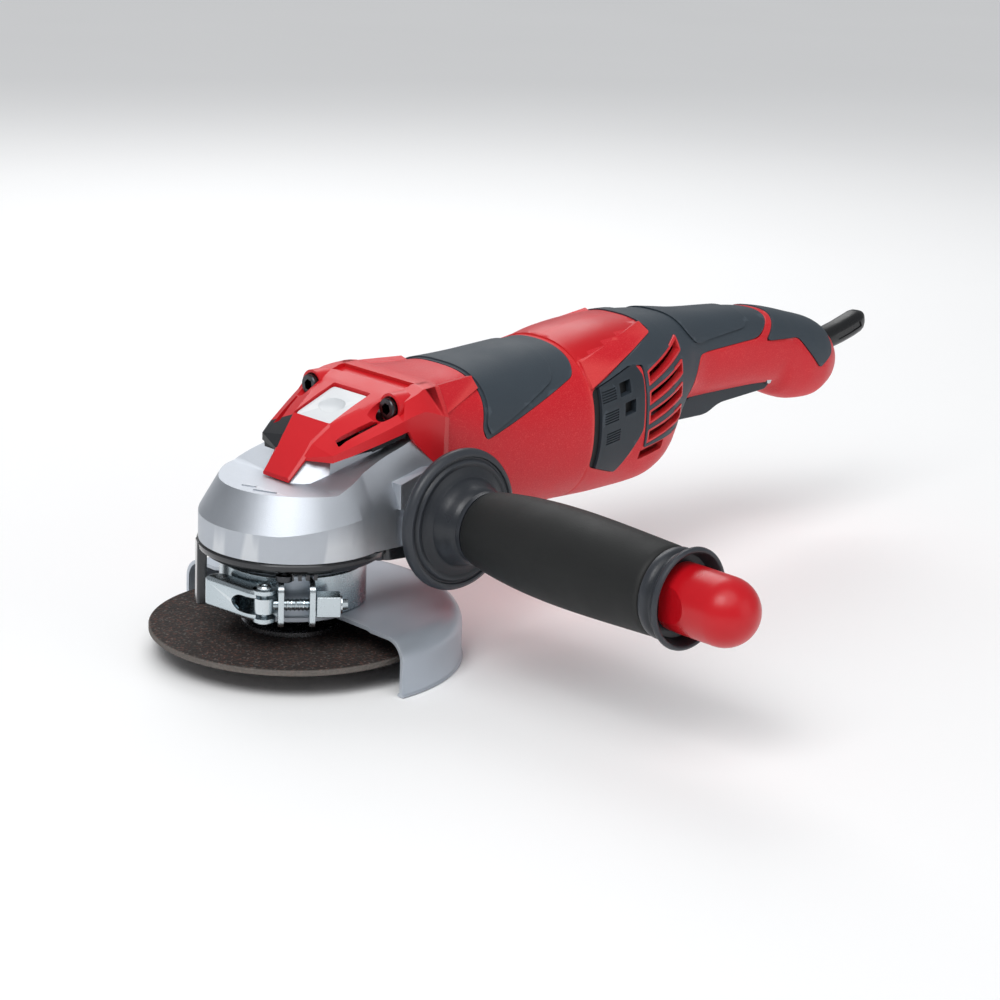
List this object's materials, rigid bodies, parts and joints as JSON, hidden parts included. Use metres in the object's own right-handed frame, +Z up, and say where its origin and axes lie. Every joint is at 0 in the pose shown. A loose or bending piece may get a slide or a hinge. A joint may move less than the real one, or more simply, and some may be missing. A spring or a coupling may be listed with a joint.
{
  "type": "angle grinder",
  "caption": "Corded angle grinder with a rear paddle handle, a quick-release guard, a cutting disc and a screwed-in side handle that stores a pin spanner.",
  "frame": {"origin": "centre of the flange nut's outer face, on the spindle axis, level with the spindle's free end", "axes": "+Z up along the spindle into the gear head; +X along the motor axis from the gear head to the tail; the side handle points along -Y"},
  "size_m": [0.4109, 0.2735, 0.1182],
  "materials": {
    "abrasive": "resin-bonded abrasive, gritty",
    "guard_steel": "satin silver-grey paint on pressed steel",
    "zinc_steel": "bluish zinc plating",
    "ground_steel": "ground and hardened",
    "black_steel": "black oxide",
    "dark_steel": "dark turned steel",
    "bronze": "sintered bronze",
    "black_plate": "gloss black coated casting",
    "cast_head": "fine-grained die casting",
    "red_gloss": "smooth satin red",
    "red_textured": "fine-textured red",
    "slate_soft": "soft overmoulded grip",
    "slate_hard": "satin slate plastic",
    "light_plastic": "light grey",
    "black_plastic": "black moulding",
    "black_rubber": "black rubber",
    "charcoal_core": "satin charcoal",
    "charcoal_grip": "matt charcoal elastomer",
    "fan_plastic": "natural nylon",
    "copper": "enamelled copper wire and copper bars",
    "lamination": "stacked silicon steel",
    "brass_box": "folded brass",
    "carbon": "pressed carbon",
    "spring_wire": "drawn spring wire"
  },
  "bodies": {
    "machine": {"spindle_bearing": "ground_steel", "spindle_bush": "bronze", "bearing_plate": "black_plate", "plate_screws": "black_steel", "gear_head": "cast_head", "gear_cover": "red_gloss", "neck_screws": "black_steel", "lock_spring": "spring_wire", "front_bearing": "ground_steel", "air_baffle": "black_plastic", "stator_core": "lamination", "field_coils": "copper", "rear_bearing": "ground_steel", "bearing_boot": "black_rubber", "brush_holders": "brass_box", "brushes": "carbon", "brush_springs": "spring_wire", "motor_housing": "red_textured", "grip_saddle": "slate_soft", "rear_shell_right": "red_textured", "rear_shell_left": "red_textured", "shell_screws": "black_steel", "side_panel_right": "slate_hard", "side_panel_left": "slate_hard", "rear_grip": "slate_soft", "tail_grip": "slate_soft", "paddle_pin": "ground_steel", "paddle_spring": "spring_wire", "switch_body": "black_plastic", "cord_sleeve": "black_rubber", "cord_clamp": "black_plastic", "handle_stud": "zinc_steel", "handle_core": "charcoal_core", "handle_grip": "charcoal_grip"},
    "spindle_group": {"spindle": "ground_steel", "crown_gear": "dark_steel", "inner_flange": "ground_steel", "flange_nut": "dark_steel", "disc": "abrasive"},
    "armature": {"armature_shaft": "ground_steel", "pinion": "dark_steel", "pinion_nut": "black_steel", "fan": "fan_plastic", "armature_core": "lamination", "armature_windings": "copper", "commutator": "copper"},
    "lock": {"lock_button": "light_plastic", "lock_pin": "ground_steel"},
    "paddle": {"paddle": "slate_hard"},
    "plunger": {"switch_plunger": "red_textured"},
    "guard": {"guard": "guard_steel", "clamp_band": "zinc_steel", "clamp_screw": "zinc_steel", "clamp_nut": "zinc_steel", "lever_rivet": "zinc_steel"},
    "lever": {"clamp_lever": "zinc_steel"},
    "key": {"key_cap": "red_textured", "key_fork": "ground_steel"}
  },
  "joints": [
    {"name": "spindle_spin", "type": "hinge", "parent": "machine", "child": "spindle_group", "pos_m": [0, 0, 0], "axis": [0, 0, 1], "continuous": true},
    {"name": "armature_spin", "type": "hinge", "parent": "machine", "child": "armature", "pos_m": [0.06, 0, 0.0739], "axis": [1, 0, 0], "continuous": true},
    {"name": "lock_press", "type": "slide", "parent": "machine", "child": "lock", "axis": [0, 0, -1], "range_m": [0, 0.004], "stiffness_N_per_m": 700, "springref_m": -0.0015, "deforming": ["lock_spring"]},
    {"name": "paddle_swing", "type": "hinge", "parent": "machine", "child": "paddle", "pos_m": [0.271, 0, 0.0756], "axis": [0, 1, 0], "range_deg": [0, 5.5], "stiffness_Nm_per_rad": 3, "springref_deg": -8.02, "deforming": ["paddle_spring"]},
    {"name": "plunger_push", "type": "slide", "parent": "machine", "child": "plunger", "axis": [0, 0, 1], "range_m": [0, 0.00308]},
    {"name": "guard_turn", "type": "hinge", "parent": "machine", "child": "guard", "pos_m": [0, 0, 0], "axis": [0, 0, 1], "range_deg": [0, 110]},
    {"name": "lever_open", "type": "hinge", "parent": "guard", "child": "lever", "pos_m": [-0.03075, -0.02003, 0.0295], "axis": [0, 0, 1], "range_deg": [0, 110]},
    {"name": "key_pull", "type": "slide", "parent": "machine", "child": "key", "axis": [0, -1, 0], "range_m": [0, 0.04]}
  ],
  "couplings": [
    {"joint": "armature_spin", "follows": "spindle_spin", "ratio": 2.6923},
    {"joint": "plunger_push", "follows": "paddle_swing", "m_per_rad": 0.031}
  ]
}
